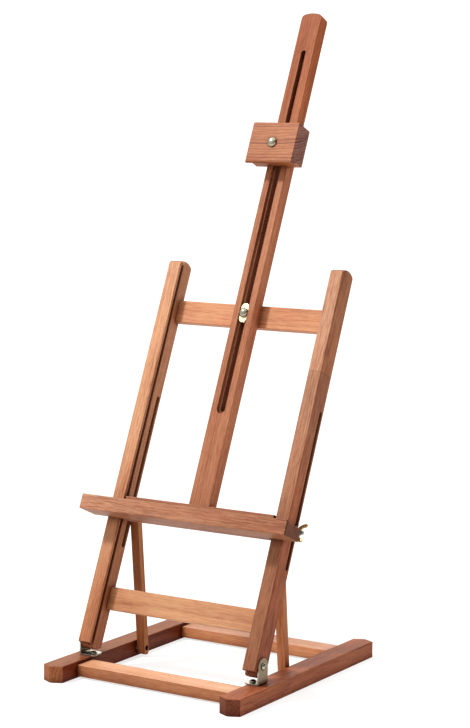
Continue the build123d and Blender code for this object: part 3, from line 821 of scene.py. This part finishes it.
def build_screws():
    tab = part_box("hinge_bracket_right")[1].x + 0.05 * MM
    screws("hinge_screws_round_head", "hinge_screws",
           [(Vector((s * tab, HINGE.y, HINGE.z)), (-s, 0, 0), Y, 0.5 * s) for s in (1, -1)],
           head=(SCREW_HEAD, 2.8), shank=(2.5, 17.2), material=NICKEL, body="frame")

    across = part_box("bracket_screws")[1].x - SCREW_HEAD * MM
    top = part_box("runner_right")[1].z + 2.0 * MM
    screws("bracket_screws_pan_head", "bracket_screws",
           [(Vector((s * across, HINGE.y, top)), (0, 0, -1), X, 0.35 + s) for s in (1, -1)],
           head=(SCREW_HEAD, 2.9), shank=(2.0, 15.5), material=NICKEL, body="base")

    seat = STRUT_INNER + PIVOT_SEAT * MM
    screws("strut_pivot_screws_sunk", "strut_pivot_screws",
           [(Vector((s * seat, STRUT_PIVOT.y, STRUT_PIVOT.z)), (s, 0, 0), Y, 0.6 * s)
            for s in (1, -1)],
           head=(3.5, 2.2), shank=(PIVOT_SHANK, 26.0), material=STEEL, body="base")


def build_bolts_and_washers():
    bolt("block_bolt", lean(-26.0, BLOCK_V), U, X, head=(7.2, 4.6), shank=FRAME_SHANK,
         length=61.0, thread_from=38.0, pitch=1.0, material=NICKEL, body="block")
    bolt("clamp_bolt", lean(1.5, CLAMP_V), U, X, head=(6.65, 5.0), shank=FRAME_SHANK,
         length=45.5, thread_from=24.0, pitch=1.0, material=NICKEL, body="frame")
    for sign, side in SIDES:
        at = Vector((sign * STRUT_INNER, STRUT_BOLT.y, STRUT_BOLT.z))
        bolt(f"strut_bolt_{side}", at, (sign, 0, 0), V, head=(5.4, 3.0), shank=STRUT_SHANK,
             length=44.6, thread_from=28.0, pitch=0.8, material=STEEL, body=f"strut_{side}")
        inner, _ = x_faces(f"strut_washer_{side}", sign)
        washer(f"strut_washer_{side}", Vector((inner, STRUT_BOLT.y, STRUT_BOLT.z)),
               (sign, 0, 0), V, radius=7.5, bore=STRUT_SHANK, thickness=1.1,
               body=f"strut_{side}")
    washer("clamp_washer", lean(30.0, CLAMP_V), U, X, radius=9.0, bore=FRAME_SHANK,
           thickness=1.4, body="frame")
    washer("block_washer", lean(18.95, BLOCK_V), U, X, radius=8.5, bore=FRAME_SHANK,
           thickness=1.4, body="block")


def build_strut_spacers():
    """Rings that fill the gap between each strut and its runner."""
    start = STRUT_INNER + STRUT_THICKNESS * MM + 0.1 * MM
    length = (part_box("runner_right")[0].x - start) / MM
    bore, radius = PIVOT_SHANK, 5.0
    profile = [(bore, 0.1), (bore + 0.1, 0), (radius - 0.2, 0), (radius, 0.2),
               (radius, length - 0.2), (radius - 0.2, length), (bore + 0.1, length),
               (bore, length - 0.1)]
    bm = bmesh.new()
    for sign in (1, -1):
        at = Vector((sign * start, STRUT_PIVOT.y, STRUT_PIVOT.z))
        ring_solid(bm, profile, 64, placed(at, (sign, 0, 0), Y))
    finish_mesh("strut_spacers_chamfered", bm, ZINC, "base", "strut_spacers", sharp=28)


def build_wing_nuts():
    wing_nut("clamp_wing_nut", CLAMP_NUT, U, "nut_clamp", FRAME_NUT)
    wing_nut("block_wing_nut", BLOCK_NUT, U, "nut_block", FRAME_NUT)
    for sign, side in SIDES:
        _, outer = x_faces(f"strut_washer_{side}", sign)
        at = Vector((outer + sign * 0.05 * MM, STRUT_BOLT.y, STRUT_BOLT.z))
        wing_nut(f"strut_wing_nut_{side}", at, (sign, 0, 0), f"nut_{side}", STRUT_NUT)


build_screws()
build_bolts_and_washers()
build_strut_spacers()
build_wing_nuts()


# -------------------------------------------------------------- floor and light
def build_floor():
    """A pale floor that goes to pure white away from the easel."""
    material = bpy.data.materials.new("studio_floor")
    material.use_nodes = True
    graph = Graph(material.node_tree)
    shader = graph.tree.nodes["Principled BSDF"]
    graph.fill(shader, {"Base Color": grey(0.93), "Roughness": 0.9,
                        "Specular IOR Level": 0.1})
    place = graph.add("ShaderNodeTexCoord").outputs["Object"]
    distance = graph.add("ShaderNodeVectorMath", {0: place}, operation="LENGTH")
    # distance in metres to the share of pure white
    white = graph.remap(distance.outputs["Value"], (0.35, 1.15), (0.58, 1.0),
                        interpolation_type="SMOOTHSTEP")
    glow = graph.add("ShaderNodeEmission", {"Strength": 1.0})
    graph.fill(graph.tree.nodes["Material Output"], {
        "Surface": graph.mix_shader(white, shader.outputs[0], glow.outputs[0])})

    bm = bmesh.new()
    bmesh.ops.create_grid(bm, x_segments=1, y_segments=1, size=9.0)
    mesh = bpy.data.meshes.new("floor")
    bm.to_mesh(mesh)
    bm.free()
    mesh.materials.append(material)
    floor = bpy.data.objects.new("floor", mesh)
    floor.location = (0, 0, -0.0004)
    scene.collection.objects.link(floor)


def build_world():
    """Separate surroundings for diffuse light, for reflections and for the camera."""
    world = bpy.data.worlds.new("studio")
    scene.world = world
    world.use_nodes = True
    graph = Graph(world.node_tree)
    graph.tree.nodes.clear()

    def background(color, strength):
        return graph.add("ShaderNodeBackground",
                         {"Color": color, "Strength": strength}).outputs[0]

    # dark low down and to the rear right, bright overhead and to the front left
    direction = graph.add("ShaderNodeTexCoord").outputs["Generated"]
    bright_way = Vector((-0.55, -0.45, 0.70)).normalized()
    height = graph.remap(graph.dot(direction, bright_way), (-1.0, 1.0))
    room = graph.ramp(height, [(0.15, (0.09, 0.09, 0.10, 1)), (0.85, (1.0, 0.99, 0.97, 1))])
    # reflections see a dim room with one broad bright side and a card at the rear left
    dim_room = graph.ramp(height, [(0.42, (0.035, 0.035, 0.04, 1)),
                                   (0.92, (0.85, 0.84, 0.82, 1))])
    card_way = Vector((-0.51, 0.82, 0.22)).normalized()
    card = graph.remap(graph.dot(direction, card_way), (0.84, 0.96), (0.0, 1.1))
    reflected = graph.mix(1.0, dim_room, card, "ADD")

    ray = graph.add("ShaderNodeLightPath")
    surroundings = graph.mix_shader(ray.outputs["Is Camera Ray"],
                                    background(room, strength=0.72),
                                    background(grey(1), strength=1.0))
    surroundings = graph.mix_shader(ray.outputs["Is Glossy Ray"], surroundings,
                                    background(reflected, strength=0.9))
    graph.add("ShaderNodeOutputWorld", {"Surface": surroundings})


# name, place, aim, size (m), power (W)
LIGHTS = [
    ("key", (-1.53, -1.37, 2.98), (0, 0, 0.4), (0.38, 0.38), 80),
    ("overhead", (0.2, 0.2, 3.0), (0, 0, 0.2), (2.6, 2.6), 14),
    ("fill", (2.6, -1.2, 1.0), (0, 0, 0.4), (1.4, 1.4), 3.5),
    ("back", (0.4, 2.8, 1.8), (0, 0, 0.4), (1.8, 1.4), 22),
]


def build_lights():
    for name, place, aim, size, power in LIGHTS:
        light = bpy.data.lights.new(name, "AREA")
        light.shape = "RECTANGLE"
        light.size, light.size_y = size
        light.energy = power
        obj = bpy.data.objects.new(name, light)
        obj.location = place
        toward = Vector(aim) - Vector(place)
        obj.rotation_euler = toward.to_track_quat("-Z", "Y").to_euler()
        scene.collection.objects.link(obj)


def build_camera():
    """A long lens from the front right, slightly above, tied to the tilt hinge."""
    azimuth, elevation, roll = math.radians(31.96), math.radians(6.89), math.radians(0.60)
    target = Vector((0, HINGE.y + 0.148566, 0.40628))
    distance = 2.77498
    forward = Vector((-math.sin(azimuth) * math.cos(elevation),
                      math.cos(azimuth) * math.cos(elevation), -math.sin(elevation)))
    right = Vector((math.cos(azimuth), math.sin(azimuth), 0))
    up = right.cross(forward)
    rolled_right = right * math.cos(roll) + up * math.sin(roll)
    rolled_up = up * math.cos(roll) - right * math.sin(roll)

    camera = bpy.data.cameras.new("photo_view")
    camera.sensor_fit = "VERTICAL"
    camera.sensor_height = 36.0
    camera.lens = 102.510989
    camera.clip_start = 0.05
    camera.clip_end = 50.0
    obj = bpy.data.objects.new("photo_view", camera)
    matrix = Matrix((rolled_right, rolled_up, -forward)).transposed().to_4x4()
    matrix.translation = target - forward * distance
    obj.matrix_world = matrix
    scene.collection.objects.link(obj)
    scene.camera = obj
    scene.view_settings.view_transform = "Standard"
    scene.view_settings.look = "Medium High Contrast"


build_floor()
build_world()
build_lights()
build_camera()
